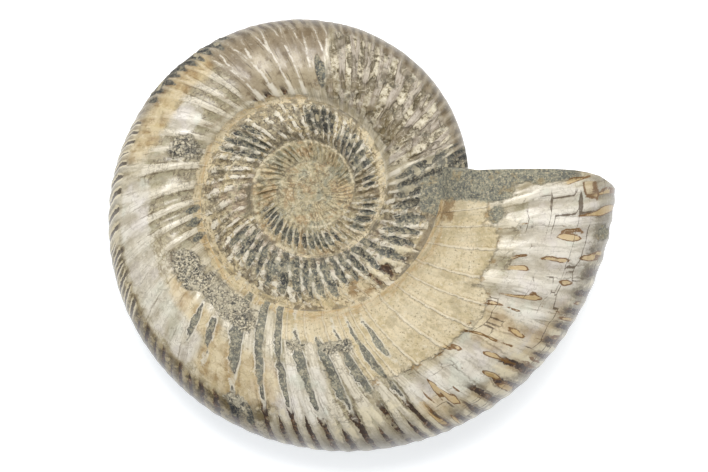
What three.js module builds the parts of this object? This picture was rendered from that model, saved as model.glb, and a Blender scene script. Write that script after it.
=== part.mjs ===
// A polished ammonite lying on its side: a coiled, ribbed shell turned to stone, one solid piece.
// Millimetres, +Z up. The coil is laid out flat about its own centre, then tipped the few degrees
// that a shell whose whorls thicken towards the lip tips on a table, and ground flat where it rests.
import * as THREE from "three";
import { ParametricGeometry } from "three/addons/geometries/ParametricGeometry.js";
import { mergeGeometries, mergeVertices } from "three/addons/utils/BufferGeometryUtils.js";

// The coil, driven by two growth spirals about the coil's centre, angles in degrees
// A growth angle is 0 at the broken lip and falls by 360 for each whorl towards the centre.
// Both spirals swell a little towards one side, as a shell that lived on the sea floor does.
const RIM = { atLip: 94.5, growth: 0.664, swell: 0.046, towards: -62.4 };
const SEAM = { atLip: 44.5, growth: 0.574, swell: 0.068, towards: -170.6 };
const FIRST_GROWTH_ANGLE = -840; // the whorls inside this are worn down to a button
const WORN_UNTIL = -600; // and the ones up to here are worn the less, the further out they are
const COVERED_FROM = 0.8; // at most this far across a whorl, the next one covers it
const THICKNESS_TO_HEIGHT = 0.85; // of a whorl's section
const CREST = 0.36; // where across the whorl it is thickest, from the seam at 0 to the rim at 1
const FLANK_POWER = 2.2; // of the superellipse from the crest out round the rim
const WALL_POWER = 1.7; // of the softer rise from the seam up to the crest

// The ribs
const RIBS_PER_WHORL = 48;
const COLUMNS_PER_RIB = 4;
const COLUMN = 360 / (RIBS_PER_WHORL * COLUMNS_PER_RIB); // degrees from one growth line to the next
const LEAN_COLUMNS = 5; // a rib leans forward by this many growth lines from its seam to the next
const LEAN = LEAN_COLUMNS * COLUMN;
const RIM_LEAN = 1.4 * LEAN; // by the time it crosses the rim
const RIB_RELIEF = 0.007; // half of crest to furrow, as a share of the distance from the centre
const FORK = 0.58; // where across the whorl a rib forks into two
const FORK_RISE = 0.6; // of the two, beside the rib's own relief

// The broken lip, straight seen from above and rounded off at the rim, and the stone in it
const LIP_ROUNDING = 5; // the higher, the tighter the corner at the rim
const STONE_BULGE = 1.2;
const STONE_RINGS = 3;

// Facets
const STRIP_ROWS_UP = 4; // from a seam out to the next, upper side
const STRIP_ROWS_DOWN = 3;
const RIM_ROWS = 6; // round the bare rim of the last whorl

// How it lies
const LEAN_OVER = { x: -1.4, y: -5.0 }; // degrees about X and then Y
const GROUND_DEPTH = 1.6; // of the flat spots that polishing left where it rests

const radians = THREE.MathUtils.degToRad;
const mix = THREE.MathUtils.lerp;

function spiral(line, growthAngle) {
  const sideways = line.swell * Math.cos(radians(growthAngle - line.towards));
  return line.atLip * Math.exp((line.growth * growthAngle) / 360 + sideways);
}

const seamRadius = (growthAngle) => spiral(SEAM, growthAngle);
// Where the next whorl's seam lies on this one, or would lie if the shell had grown on.
const trackRadius = (growthAngle) => spiral(SEAM, growthAngle + 360);

// The rim of every whorl but the last is covered by the next, so it only sets the thickness there.
function rimRadius(growthAngle) {
  const drawn = spiral(RIM, growthAngle);
  if (growthAngle >= -360) return drawn;
  return Math.max(drawn, mix(seamRadius(growthAngle), trackRadius(growthAngle), 1 / COVERED_FROM));
}

const halfThickness = (growthAngle) =>
  (THICKNESS_TO_HEIGHT * (rimRadius(growthAngle) - seamRadius(growthAngle))) / 2;

const acrossAt = (growthAngle, radius) => {
  const seam = seamRadius(growthAngle);
  return (radius - seam) / (rimRadius(growthAngle) - seam);
};

// Height of the flank above the coil's middle plane, outside the crest.
function flankHeight(growthAngle, across) {
  const out = THREE.MathUtils.clamp((across - CREST) / (1 - CREST), 0, 1);
  return halfThickness(growthAngle) * (1 - out ** FLANK_POWER) ** (1 / FLANK_POWER);
}

// Height of the seam, which lies on the flank of the whorl before.
function seamHeight(growthAngle) {
  const before = growthAngle - 360;
  return flankHeight(before, acrossAt(before, seamRadius(growthAngle)));
}

function wallHeight(growthAngle, across) {
  const rise = (1 - (1 - across / CREST) ** WALL_POWER) ** (1 / WALL_POWER);
  return mix(seamHeight(growthAngle), halfThickness(growthAngle), rise);
}

// The radius and height of the whorl's section at one growth angle, from the seam to the track.
function stripPoint(growthAngle, share) {
  const radius = mix(seamRadius(growthAngle), trackRadius(growthAngle), share);
  const across = acrossAt(growthAngle, radius);
  const whole =
    across < CREST ? wallHeight(growthAngle, across) : flankHeight(growthAngle, across);
  const level = mix(seamHeight(growthAngle), seamHeight(growthAngle + 360), share);
  const kept = THREE.MathUtils.smoothstep(growthAngle, FIRST_GROWTH_ANGLE, WORN_UNTIL);
  return { radius, height: mix(level, whole, kept) };
}

// The same round the rim, from the track at 0 to the track on the lower side at 1.
function rimPoint(growthAngle, share) {
  const trackAcross = acrossAt(growthAngle, trackRadius(growthAngle));
  const trackOut = (trackAcross - CREST) / (1 - CREST);
  const trackTurn = Math.acos(trackOut ** (FLANK_POWER / 2));
  const turn = mix(trackTurn, -trackTurn, share);
  const out = Math.abs(Math.cos(turn)) ** (2 / FLANK_POWER);
  const up = Math.abs(Math.sin(turn)) ** (2 / FLANK_POWER) * Math.sign(turn);
  const seam = seamRadius(growthAngle);
  return {
    radius: mix(seam, rimRadius(growthAngle), CREST + (1 - CREST) * out),
    height: halfThickness(growthAngle) * up,
  };
}

// One point of the shell. A row runs from the upper seam at 0, over the track at 1 and round
// the rim, to the lower track at 2 and the lower seam at 3.
function leanOf(row) {
  if (row <= 1) return LEAN * row;
  if (row >= 2) return LEAN * (3 - row);
  return mix(LEAN, RIM_LEAN, Math.sin(Math.PI * (row - 1)));
}

function sectionPoint(growthAngle, row) {
  if (row <= 1) return stripPoint(growthAngle, row);
  if (row < 2) return rimPoint(growthAngle, row - 1);
  const upper = stripPoint(growthAngle, 3 - row);
  return { radius: upper.radius, height: -upper.height };
}

// The growth line's angle at a row, and the section there, which grows on as the line leans forward.
function placeOn(growthAngle, row) {
  const angle = growthAngle + leanOf(row);
  return { angle, ...sectionPoint(angle, row) };
}

// The lip broke along a line level with +X, so far to the +Y side of the coil's centre.
const LIP_REACH = seamRadius(LEAN) * Math.sin(radians(LEAN));

function lipAngle(radius) {
  const out = (radius - seamRadius(0)) / (rimRadius(0) - seamRadius(0));
  const rounded = 1 - THREE.MathUtils.clamp(out, 0, 1) ** LIP_ROUNDING;
  return THREE.MathUtils.radToDeg(Math.asin((LIP_REACH * rounded) / radius));
}

// The growth angle at which a row meets the lip, on the last whorl or on a whorl before it.
function lipGrowthAngle(row, whorlsBefore) {
  const seam = row === 0 || row === 3;
  const track = row === 1 || row === 2;
  if (seam) return LEAN;
  if (track && whorlsBefore === 1) return -360;
  let growthAngle = -360 * whorlsBefore;
  for (let tries = 0; tries < 8; tries++) {
    const { radius } = placeOn(growthAngle, row);
    growthAngle = lipAngle(radius) - leanOf(row) - 360 * whorlsBefore;
  }
  return growthAngle;
}

// Rib relief, from -1 in a furrow to 1 on a rib.
function ribWave(growthAngle, across) {
  const phase = (growthAngle / 360) * RIBS_PER_WHORL * 2 * Math.PI;
  const forked = THREE.MathUtils.smoothstep(across, FORK - 0.12, FORK + 0.12);
  return mix(-Math.cos(phase), FORK_RISE * -Math.cos(2 * phase), forked);
}

// Relief dies out in the stone-filled seam, where the next whorl covers the track, and where the
// shell is worn.
function ribShare(growthAngle, row) {
  const fromSeam = Math.min(row, 3 - row);
  const open = THREE.MathUtils.smoothstep(growthAngle, -360, -340);
  const outward = mix(1 - THREE.MathUtils.smoothstep(fromSeam, 0.72, 1), 1, open);
  const kept = THREE.MathUtils.smoothstep(growthAngle, FIRST_GROWTH_ANGLE, WORN_UNTIL);
  return THREE.MathUtils.smoothstep(fromSeam, 0, 0.2) * outward * mix(0.3, 1, kept);
}

function shellPoint(growthAngle, row, target) {
  const last = lipGrowthAngle(row, 0);
  const grown = Math.min(growthAngle, last);
  const { angle, radius, height } = placeOn(grown, row);
  const middle = (seamRadius(angle) + rimRadius(angle)) / 2;
  const wave = ribWave(grown, acrossAt(angle, radius));
  const relief = RIB_RELIEF * radius * wave * ribShare(grown, row);
  const reach = Math.hypot(radius - middle, height);
  const outward = radius + ((radius - middle) / reach) * relief;
  const upward = height + (height / reach) * relief;
  const theta = radians(angle);
  return target.set(outward * Math.cos(theta), outward * Math.sin(theta), upward);
}

// The surface patches. Each is a grid whose edges fall on its neighbours' vertices.
function shellPatch(fromAngle, toAngle, fromRow, toRow, rows) {
  const columns = Math.round((toAngle - fromAngle) / COLUMN);
  const place = (u, v, target) =>
    shellPoint(fromAngle + u * (toAngle - fromAngle), mix(toRow, fromRow, v), target);
  return new ParametricGeometry(place, columns, rows);
}

// The bare rim starts where the last whorl's lip stops covering the whorl before.
function rimPatch() {
  const fromAngle = -360 - LEAN;
  const columns = Math.round((LEAN - fromAngle) / COLUMN);
  const place = (u, v, target) => {
    const row = 2 - v;
    const growthAngle = mix(fromAngle, LEAN, u);
    return shellPoint(Math.max(growthAngle, lipGrowthAngle(row, 1)), row, target);
  };
  return new ParametricGeometry(place, columns, RIM_ROWS);
}

// A patch that closes a loop of points with rings that shrink to its centre.
function closingPatch(loop, rings, centreOf, shapeOf) {
  const centre = centreOf(loop);
  const place = (u, v, target) => {
    const edge = loop[Math.round(u * loop.length) % loop.length];
    target.lerpVectors(edge, centre, v);
    return shapeOf(target, v);
  };
  return new ParametricGeometry(place, loop.length, rings);
}

const rowsBetween = (from, to, count) =>
  Array.from({ length: count + 1 }, (_, i) => mix(from, to, i / count));

function stoneLoop() {
  const lipRows = [
    ...rowsBetween(0, 1, STRIP_ROWS_UP),
    ...rowsBetween(1, 2, RIM_ROWS).slice(1),
    ...rowsBetween(2, 3, STRIP_ROWS_DOWN).slice(1),
  ];
  const lip = lipRows.map((row) => shellPoint(LEAN, row, new THREE.Vector3()));
  const rimBehind = rowsBetween(2, 1, RIM_ROWS)
    .slice(1, -1)
    .map((row) => shellPoint(lipGrowthAngle(row, 1), row, new THREE.Vector3()));
  return [...lip, ...rimBehind];
}

function averageOf(points) {
  const sum = points.reduce((total, point) => total.add(point), new THREE.Vector3());
  return sum.divideScalar(points.length);
}

// The stone stands a little proud of the broken lip, along the way the shell grew.
function stonePatch() {
  const bulge = (point, inward) => {
    point.y += STONE_BULGE * Math.sin((inward * Math.PI) / 2);
    return point;
  };
  return closingPatch(stoneLoop(), STONE_RINGS, averageOf, bulge);
}

// The button at the centre of a side: the seam's first whorl, closed along the first growth line.
function buttonPatch(side) {
  const seamRow = side > 0 ? 0 : 3;
  const trackRow = side > 0 ? 1 : 2;
  const rows = side > 0 ? STRIP_ROWS_UP : STRIP_ROWS_DOWN;
  const turn = Math.round((360 + LEAN) / COLUMN);
  const seam = Array.from({ length: turn + 1 }, (_, i) =>
    shellPoint(FIRST_GROWTH_ANGLE + i * COLUMN, seamRow, new THREE.Vector3()),
  );
  const firstLine = rowsBetween(trackRow, seamRow, rows)
    .slice(1, -1)
    .map((row) => shellPoint(FIRST_GROWTH_ANGLE, row, new THREE.Vector3()));
  const loop = [...seam, ...firstLine];
  const axis = (points) => new THREE.Vector3(0, 0, averageOf(points).z);
  return closingPatch(side > 0 ? loop : loop.reverse(), 2, axis, (point) => point);
}

// Joining the patches
function dropCollapsed(geometry) {
  const kept = [];
  for (let i = 0; i < geometry.index.count; i += 3) {
    const [a, b, c] = [0, 1, 2].map((corner) => geometry.index.getX(i + corner));
    if (a !== b && b !== c && c !== a) kept.push(a, b, c);
  }
  geometry.setIndex(kept);
  return geometry;
}

function joinPatches(patches) {
  for (const patch of patches) {
    patch.deleteAttribute("normal");
    patch.deleteAttribute("uv");
  }
  return dropCollapsed(mergeVertices(mergeGeometries(patches), 1e-3));
}

// Tips the shell over as it lies, grinds it flat where it rests, and sets it on its origin.
function layDown(geometry) {
  geometry.rotateX(radians(LEAN_OVER.x));
  geometry.rotateY(radians(LEAN_OVER.y));
  geometry.computeBoundingBox();
  const floor = geometry.boundingBox.min.z + GROUND_DEPTH;
  const points = geometry.getAttribute("position");
  for (let i = 0; i < points.count; i++) points.setZ(i, Math.max(points.getZ(i), floor));
  geometry.computeBoundingBox();
  const middle = geometry.boundingBox.getCenter(new THREE.Vector3());
  return geometry.translate(-middle.x, -middle.y, -floor);
}

function ammoniteGeometry() {
  const patches = [
    shellPatch(FIRST_GROWTH_ANGLE, LEAN, 0, 1, STRIP_ROWS_UP),
    rimPatch(),
    shellPatch(FIRST_GROWTH_ANGLE, LEAN, 2, 3, STRIP_ROWS_DOWN),
    stonePatch(),
    buttonPatch(1),
    buttonPatch(-1),
  ];
  return layDown(joinPatches(patches));
}

const shellStone = new THREE.MeshStandardMaterial({
  color: 0xcdbd9c,
  roughness: 0.35,
  metalness: 0,
});

const ammonite = new THREE.Mesh(ammoniteGeometry(), shellStone);
ammonite.name = "ammonite";

const part = new THREE.Group();
part.add(ammonite);

export default part;
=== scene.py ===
# %% [markdown]
# # A polished ammonite, lying on its side
# An ammonite is the coiled shell of a sea animal, turned to stone. Each whorl of the tube lies
# against the one before it, and ribs cross it like ripples, splitting in two on their way to the
# rim. This one was polished until it shines, but the polish missed the hollows: grey sediment is
# still there, and sandy stone fills the shell near its broken lip.
#
# The plan: draw the coil with two growth spirals, lay grids over it as an onion skin is laid over
# an onion, weld them into one skin, push the ribs out of it, and colour it by where on the shell
# each point lies.

# %% The frame and the tools
import math

import bmesh
import bpy
import numpy as np
from mathutils import Matrix, Vector, noise


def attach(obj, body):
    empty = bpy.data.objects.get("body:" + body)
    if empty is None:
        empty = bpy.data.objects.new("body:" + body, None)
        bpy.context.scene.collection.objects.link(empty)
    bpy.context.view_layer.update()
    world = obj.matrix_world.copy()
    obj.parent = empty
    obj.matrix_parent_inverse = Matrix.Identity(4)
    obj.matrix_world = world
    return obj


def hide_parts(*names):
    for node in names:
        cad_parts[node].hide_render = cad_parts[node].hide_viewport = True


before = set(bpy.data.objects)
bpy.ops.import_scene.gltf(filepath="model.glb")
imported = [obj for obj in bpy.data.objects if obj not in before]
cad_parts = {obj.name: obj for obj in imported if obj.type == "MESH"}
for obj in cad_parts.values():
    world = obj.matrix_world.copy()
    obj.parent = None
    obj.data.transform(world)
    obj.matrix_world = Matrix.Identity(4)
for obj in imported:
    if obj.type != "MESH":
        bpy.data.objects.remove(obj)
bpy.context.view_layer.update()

# %% [markdown]
# ## The coil
# A shell grows at its lip, and every part of it is the lip of some earlier day. So one number, the
# growth angle, says when a point was made: 0 is the lip as it broke, and each whorl before is 360
# degrees less. Two spirals give the distance of the rim and of the seam from the coil's centre.
# Both are swollen a little to one side, because a plain spiral fits no real shell exactly.

# %% Growth spirals, in millimetres and degrees
RIM = {"at_lip": 94.5, "growth": 0.664, "swell": 0.046, "towards": -62.4}
SEAM = {"at_lip": 44.5, "growth": 0.574, "swell": 0.068, "towards": -170.6}
COVERED_FROM = 0.8
THICKNESS_TO_HEIGHT = 0.85
CREST = 0.36
FLANK_POWER = 2.2
WALL_POWER = 1.7

COLUMNS_PER_TURN = 768
COLUMN = 360 / COLUMNS_PER_TURN
LEAN = 20 * COLUMN
RIM_LEAN = 1.4 * LEAN
FIRST_GROWTH = -1080.0
WORN_FROM, WORN_UNTIL = -960.0, -700.0


def mix(a, b, share):
    return a + (b - a) * share


def smooth(low, high, value):
    share = np.clip((value - low) / (high - low), 0, 1)
    return share * share * (3 - 2 * share)


def spiral(line, growth):
    sideways = line["swell"] * np.cos(np.radians(growth - line["towards"]))
    return line["at_lip"] * np.exp(line["growth"] * growth / 360 + sideways)


def seam_radius(growth):
    return spiral(SEAM, growth)


def track_radius(growth):
    return spiral(SEAM, growth + 360)


def rim_radius(growth):
    drawn = spiral(RIM, growth)
    covered = mix(seam_radius(growth), track_radius(growth), 1 / COVERED_FROM)
    return np.where(growth >= -360, drawn, np.maximum(drawn, covered))


print("the rim reaches", round(float(rim_radius(np.array(0.0))), 1), "mm at the lip")

# %% [markdown]
# ## The section of the tube
# Cut across, the tube is an oval that is fattest a third of the way from the seam to the rim. Its
# seam rests on the flank of the whorl before. A superellipse draws the outside, and a softer one
# the wall that climbs out of the seam. The innermost whorls are worn, so theirs is pressed flat.


# %% Height of the flank above the middle plane
def half_thickness(growth):
    return THICKNESS_TO_HEIGHT * (rim_radius(growth) - seam_radius(growth)) / 2


def across_at(growth, radius):
    seam = seam_radius(growth)
    return (radius - seam) / (rim_radius(growth) - seam)


def flank_height(growth, across):
    out = np.clip((across - CREST) / (1 - CREST), 0, 1)
    return half_thickness(growth) * (1 - out ** FLANK_POWER) ** (1 / FLANK_POWER)


def seam_height(growth):
    before = growth - 360
    return flank_height(before, across_at(before, seam_radius(growth)))


def wall_height(growth, across):
    climb = np.clip(1 - across / CREST, 0, 1)
    rise = (1 - climb ** WALL_POWER) ** (1 / WALL_POWER)
    return mix(seam_height(growth), half_thickness(growth), rise)


def strip_section(growth, share):
    """Radius and height from the seam at 0 to where the next whorl's seam runs at 1."""
    radius = mix(seam_radius(growth), track_radius(growth), share)
    across = across_at(growth, radius)
    inside = wall_height(growth, across)
    whole = np.where(across < CREST, inside, flank_height(growth, across))
    level = mix(seam_height(growth), seam_height(growth + 360), share)
    kept = smooth(WORN_FROM, WORN_UNTIL, growth)
    return radius, mix(level, whole, kept)


def rim_section(growth, share):
    """The same round the rim, from the track above at 0 to the track below at 1."""
    track = across_at(growth, track_radius(growth))
    start = np.arccos(((track - CREST) / (1 - CREST)) ** (FLANK_POWER / 2))
    turn = mix(start, -start, share)
    out = np.abs(np.cos(turn)) ** (2 / FLANK_POWER)
    up = np.abs(np.sin(turn)) ** (2 / FLANK_POWER) * np.sign(turn)
    radius = mix(seam_radius(growth), rim_radius(growth), CREST + (1 - CREST) * out)
    return radius, half_thickness(growth) * up


# %% [markdown]
# A row is a line along the tube: 0 is the upper seam, 1 the track where the next whorl's seam
# would run, 2 and 3 the same below. Growth lines lean forward on their way out, as the ribs do.


# %% One point of the smooth shell, from its growth angle and row
def lean_of(row):
    folded = np.minimum(row, 3 - row)
    round_rim = mix(LEAN, RIM_LEAN, np.sin(np.pi * (np.clip(row, 1, 2) - 1)))
    return np.where(folded <= 1, LEAN * folded, round_rim)


def section(growth, row):
    folded = np.minimum(row, 3 - row)
    radius, height = strip_section(growth, np.clip(folded, 0, 1))
    rim_radius_there, rim_height = rim_section(growth, np.clip(row - 1, 0, 1))
    on_strip = folded <= 1
    height = np.where(row > 1.5, -height, height)
    return np.where(on_strip, radius, rim_radius_there), np.where(on_strip, height, rim_height)


def place_on(growth, row):
    angle = growth + lean_of(row)
    return (angle,) + section(angle, row)


LIP_REACH = float(seam_radius(np.array(LEAN))) * math.sin(math.radians(LEAN))
LIP_ROUNDING = 9
LIP_SAG = 0.28


def lip_angle(radius):
    seam, rim = seam_radius(0.0), rim_radius(np.array(0.0))
    share = np.clip((radius - seam) / (rim - seam), 0, 1)
    left = 1 - LIP_SAG * smooth(0.0, 0.10, share) * (1 - 0.5 * share)
    return np.degrees(np.arcsin(LIP_REACH * left * (1 - share ** LIP_ROUNDING) / radius))


def lip_growth(row, whorls_before):
    """The growth angle at which a row meets the broken lip."""
    growth = np.full_like(row, -360.0 * whorls_before)
    for _ in range(8):
        radius = place_on(growth, row)[1]
        growth = lip_angle(radius) - lean_of(row) - 360 * whorls_before
    growth = np.where((row == 0) | (row == 3), LEAN, growth)
    if whorls_before:
        growth = np.where((row == 1) | (row == 2), -360.0, growth)
    return growth


print("the lip broke", round(LIP_REACH, 1), "mm above the coil's centre in the picture")

# %% [markdown]
# ## The ribs
# There are 48 main ribs to a whorl. Each splits at a little over half-way out, and its two arms
# spread until all arms are evenly spaced at the rim. The distance to the nearest arm gives the
# rise. A slow wobble keeps the spacing from looking machined.

# %% How high the ribs rise
RIBS_PER_WHORL = 48
RIB_RELIEF = 0.0062
FORK = 0.52
COVERED_UNTIL = -352.0


def rib_phase(growth):
    turns = np.radians(growth)
    wobble = 0.16 * np.sin(5 * turns + 0.6) + 0.12 * np.sin(11.3 * turns + 2.1)
    return growth / 360 * RIBS_PER_WHORL + wobble


def scatter(number):
    """A steady random number between 0 and 1 for each whole number."""
    spun = np.sin(number * 12.9898 + 4.1) * 43758.5453
    return spun - np.floor(spun)


def fork_spread(phase, across):
    """0 where a rib is still one, and 1 where its two arms are spread fully."""
    fork = FORK + 0.16 * (scatter(np.floor(phase)) - 0.5)
    return smooth(fork - 0.05, fork + 0.42, across)


def rib_rise(growth, across):
    phase = rib_phase(growth)
    off = phase - np.floor(phase) - 0.5
    spread = fork_spread(phase, across)
    arm = np.abs(np.abs(off) - 0.25 * spread)
    return np.cos(np.pi * arm / mix(0.5, 0.25, spread))


def hold(growth, row):
    """Where relief may stand: not in a seam, nor in the part that the next whorl covers."""
    from_seam = np.minimum(row, 3 - row)
    bare = smooth(COVERED_UNTIL - 8, COVERED_UNTIL + 8, growth)
    outward = mix(1 - smooth(0.78, 1, from_seam), 1, bare)
    return smooth(0, 0.14, from_seam) * outward


print(RIBS_PER_WHORL, "main ribs to a whorl")

# %% [markdown]
# ## Where things lie on the shell
# A specimen is a patchwork: here the shell is clear brown calcite, there white and pearly, and
# elsewhere sandstone shows. Each patch is written down once, as a stretch of angle along the whorl
# and a stretch of the way across it. The same list shapes the surface and colours it.

# %% The patches: whorl, from and to in degrees, from and to across, soft edges along and across
OUTER, MIDDLE, INNER = 0, 1, 2
PATCHES = {
    "mud": [
        (OUTER, -8, 15, 0.22, 1.2, 4, 0.10), (OUTER, 82, 88, 0.20, 0.50, 3, 0.08),
        (OUTER, 121, 151, 0.86, 1.08, 5, 0.09),
        (OUTER, 249, 256, 0.78, 0.90, 2, 0.05), (OUTER, 186, 205, 0.02, 0.10, 5, 0.05),
        (MIDDLE, 20, 62, 0.10, 0.62, 6, 0.20), (MIDDLE, 72, 94, 0.26, 0.84, 4, 0.16),
        (MIDDLE, 135, 155, 0.10, 0.86, 4, 0.16), (MIDDLE, 2, 16, 0.30, 0.60, 4, 0.14),
        (MIDDLE, 212, 242, 0.10, 0.56, 5, 0.20), (MIDDLE, 240, 286, 0.0, 0.66, 4, 0.20),
        (MIDDLE, 284, 320, 0.0, 0.50, 6, 0.20), (MIDDLE, 318, 362, 0.30, 0.72, 8, 0.20),
        (INNER, 200, 300, 0.22, 0.66, 10, 0.16), (INNER, 318, 350, 0.40, 0.8, 8, 0.16),
    ],
    "smothered": [
        (OUTER, -8, 16, 0.34, 1.1, 6, 0.16), (MIDDLE, 72, 94, 0.3, 0.8, 6, 0.2),
        (OUTER, 121, 151, 0.86, 1.08, 5, 0.09), (OUTER, 249, 256, 0.78, 0.90, 2, 0.05),
    ],
    "polished": [(OUTER, 196, 262, 0.36, 1.1, 8, 0.12), (OUTER, 150, 172, 0.6, 1.0, 8, 0.12)],
    "wedges": [
        (OUTER, 236, 262, -0.1, 0.62, 4, 0.22), (OUTER, 261, 296, 0.18, 0.64, 3, 0.20),
        (OUTER, 227, 237, 0.30, 0.62, 3, 0.16),
    ],
    "crust": [
        (OUTER, 206, 222, 0.12, 0.36, 5, 0.09), (OUTER, 218, 248, 0.08, 0.28, 6, 0.09),
        (OUTER, 157, 167, 0.10, 0.40, 5, 0.12), (OUTER, 247, 254, 0.74, 0.84, 3, 0.05),
        (OUTER, 262, 269, 0.20, 0.28, 3, 0.05), (OUTER, 275, 286, 0.20, 0.29, 3, 0.06),
    ],
    "matrix": [
        (OUTER, 355, 369, -0.2, 0.40, 3, 0.08), (OUTER, 361, 369, 0.3, 0.78, 1.5, 0.08),
        (OUTER, 349, 355, 0.30, 0.38, 3, 0.05), (OUTER, 350, 353, 0.93, 1.0, 2, 0.04),
        (OUTER, 365.5, 369, -0.2, 1.3, 1, 0.05), (OUTER, -12, 6, 0.64, 1.2, 4, 0.14),
    ],
    "infill": [
        (OUTER, 256, 292, -0.2, 0.22, 4, 0.06), (OUTER, 286, 330, -0.2, 0.52, 4, 0.09),
        (OUTER, 326, 348, -0.2, 0.40, 5, 0.08), (OUTER, 344, 357, -0.2, 0.28, 4, 0.06),
        (OUTER, 140, 262, -0.2, 0.05, 8, 0.05), (MIDDLE, 196, 262, 0.86, 1.2, 8, 0.08),
        (OUTER, 92, 150, -0.2, 0.05, 8, 0.04), (INNER, 255, 372, 0.88, 1.2, 12, 0.12),
        (MIDDLE, 272, 305, 0.56, 1.2, 6, 0.16), (MIDDLE, 70, 200, 0.92, 1.2, 8, 0.05),
        (MIDDLE, -10, 60, 0.80, 1.2, 8, 0.14),
    ],
    "pearl": [
        (OUTER, 176, 236, 0.50, 0.80, 5, 0.10), (OUTER, 254, 276, 0.40, 0.80, 3, 0.10),
        (OUTER, 296, 316, 0.58, 0.84, 4, 0.08), (OUTER, 312, 360, 0.50, 0.90, 5, 0.08),
        (OUTER, 144, 157, 0.30, 0.58, 4, 0.07), (MIDDLE, 148, 186, 0.18, 0.40, 5, 0.08),
        (OUTER, 214, 226, 0.40, 0.80, 4, 0.08),
    ],
    "calcite": [
        (OUTER, 84, 150, 0.12, 1.3, 3, 0.10), (OUTER, 196, 212, 0.30, 0.58, 3, 0.08),
        (OUTER, -10, 84, 0.86, 1.5, 6, 0.06), (MIDDLE, 96, 132, 0.10, 0.9, 6, 0.14),
    ],
    "etched": [(OUTER, 15, 82, 0.08, 0.88, 3, 0.06)],
    "streaked": [
        (OUTER, 156, 206, 0.02, 0.62, 5, 0.10), (OUTER, 126, 160, 0.14, 0.72, 6, 0.12),
        (OUTER, 236, 300, 0.20, 0.80, 6, 0.12), (OUTER, 330, 360, 0.44, 0.96, 6, 0.10),
    ],
    "warm": [
        (OUTER, 128, 172, 0.60, 1.02, 6, 0.14), (OUTER, 206, 250, 0.82, 1.10, 6, 0.08),
        (OUTER, 130, 366, -0.2, 0.05, 8, 0.05), (OUTER, 212, 240, 0.34, 0.50, 6, 0.08),
        (MIDDLE, 170, 330, 0.84, 1.2, 8, 0.08), (OUTER, 340, 354, 0.14, 0.34, 3, 0.05),
        (OUTER, 296, 336, 0.84, 0.96, 8, 0.08), (OUTER, 236, 262, 0.40, 0.78, 4, 0.12),
        (OUTER, 318, 328, 0.50, 0.80, 4, 0.08), (OUTER, 296, 304, 0.74, 0.92, 3, 0.08),
    ],
    "stain": [
        (OUTER, 256, 300, 0.70, 1.2, 4, 0.10), (OUTER, 306, 322, 0.78, 1.1, 3, 0.08),
        (OUTER, 346, 357, -0.2, 0.12, 3, 0.05), (OUTER, 192, 256, 0.82, 1.3, 8, 0.08),
        (OUTER, 88, 150, 0.90, 1.5, 8, 0.08), (OUTER, 298, 345, 0.92, 1.3, 8, 0.05),
        (OUTER, 104, 124, 0.05, 0.16, 4, 0.05), (MIDDLE, 290, 330, 0.50, 0.90, 8, 0.12),
    ],
    "eyelets": [(OUTER, 158, 216, 0.84, 1.06, 4, 0.05)],
    "cracked": [(OUTER, 298, 358, 0.50, 0.98, 5, 0.06), (OUTER, 352, 369, 0.7, 1.0, 2, 0.05)],
    "bullets": [(OUTER, -20, 20, 0.06, 0.20, 4, 0.04), (OUTER, 92, 122, 0.05, 0.22, 4, 0.06)],
}


UNDERSIDE_TURN = 125


def patch_strength(name, along, across, turns=0):
    """From 0 to 1: 1 well inside a patch of this name, 0 well outside all of them."""
    strength = np.zeros_like(along)
    for whorl, start, stop, near, far, soft, soft_across in PATCHES[name]:
        place = along + 360 * (whorl + turns)
        inside = smooth(start - soft, start + soft, place)
        inside = inside * (1 - smooth(stop - soft, stop + soft, place))
        inside = inside * smooth(near - soft_across, near + soft_across, across)
        inside = inside * (1 - smooth(far - soft_across, far + soft_across, across))
        strength = np.maximum(strength, inside)
    return strength


def where_on_shell(growth, row):
    """Degrees along the last whorl from its start, and the way across, 0 at the seam."""
    angle, radius, _ = place_on(growth, row)
    seen = np.where(angle < COVERED_UNTIL, np.minimum(row, 3 - row), across_at(angle, radius))
    return angle + 360, seen


def shell_patches(growth, row):
    along, across = where_on_shell(growth, row)
    below = smooth(1.45, 1.75, row)
    strengths = {}
    for name in PATCHES:
        above_strength = patch_strength(name, along, across)
        turned = along + UNDERSIDE_TURN
        below_strength = patch_strength(name, turned, across)
        below_strength = np.maximum(below_strength, patch_strength(name, turned, across, -1))
        strengths[name] = mix(above_strength, below_strength, below)
    return strengths


print(sum(len(places) for places in PATCHES.values()), "patches of", len(PATCHES), "kinds")

# %% [markdown]
# ## Laying the skin
# Three grids cover the coil: the upper flank, the bare rim of the last whorl and the lower flank.
# Each starts as a flat sheet, and every point of the sheet is moved to its growth angle and row.
# A whorl's outer edge lands exactly on the next whorl's seam, so welding closes the spiral.

# %% The growth lines and rows of one grid
ROWS_ABOVE, ROWS_ROUND, ROWS_BELOW = 20, 16, 9


def read(items, name, width=1, kind=float):
    """One property of every point, corner or face of a mesh, as an array."""
    values = np.empty(len(items) * width, dtype=kind)
    items.foreach_get(name, values)
    return values.reshape(-1, width) if width > 1 else values


def sheet(name, first_growth, first_row, last_row, rows):
    """A flat grid as a mesh, with the growth angle and row of every point."""
    columns = round((LEAN - first_growth) / COLUMN)
    flat = bmesh.new()
    bmesh.ops.create_grid(flat, x_segments=columns, y_segments=rows, size=1, calc_uvs=True)
    flat.loops.layers.uv.verify()
    mesh = bpy.data.meshes.new(name)
    flat.to_mesh(mesh)
    flat.free()
    places = read(mesh.vertices, "co", 3)
    column = np.rint((places[:, 0] + 1) / 2 * columns)
    step = np.rint((1 - places[:, 1]) / 2 * rows) / rows
    return mesh, first_growth + column * COLUMN, first_row + (last_row - first_row) * step


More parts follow.
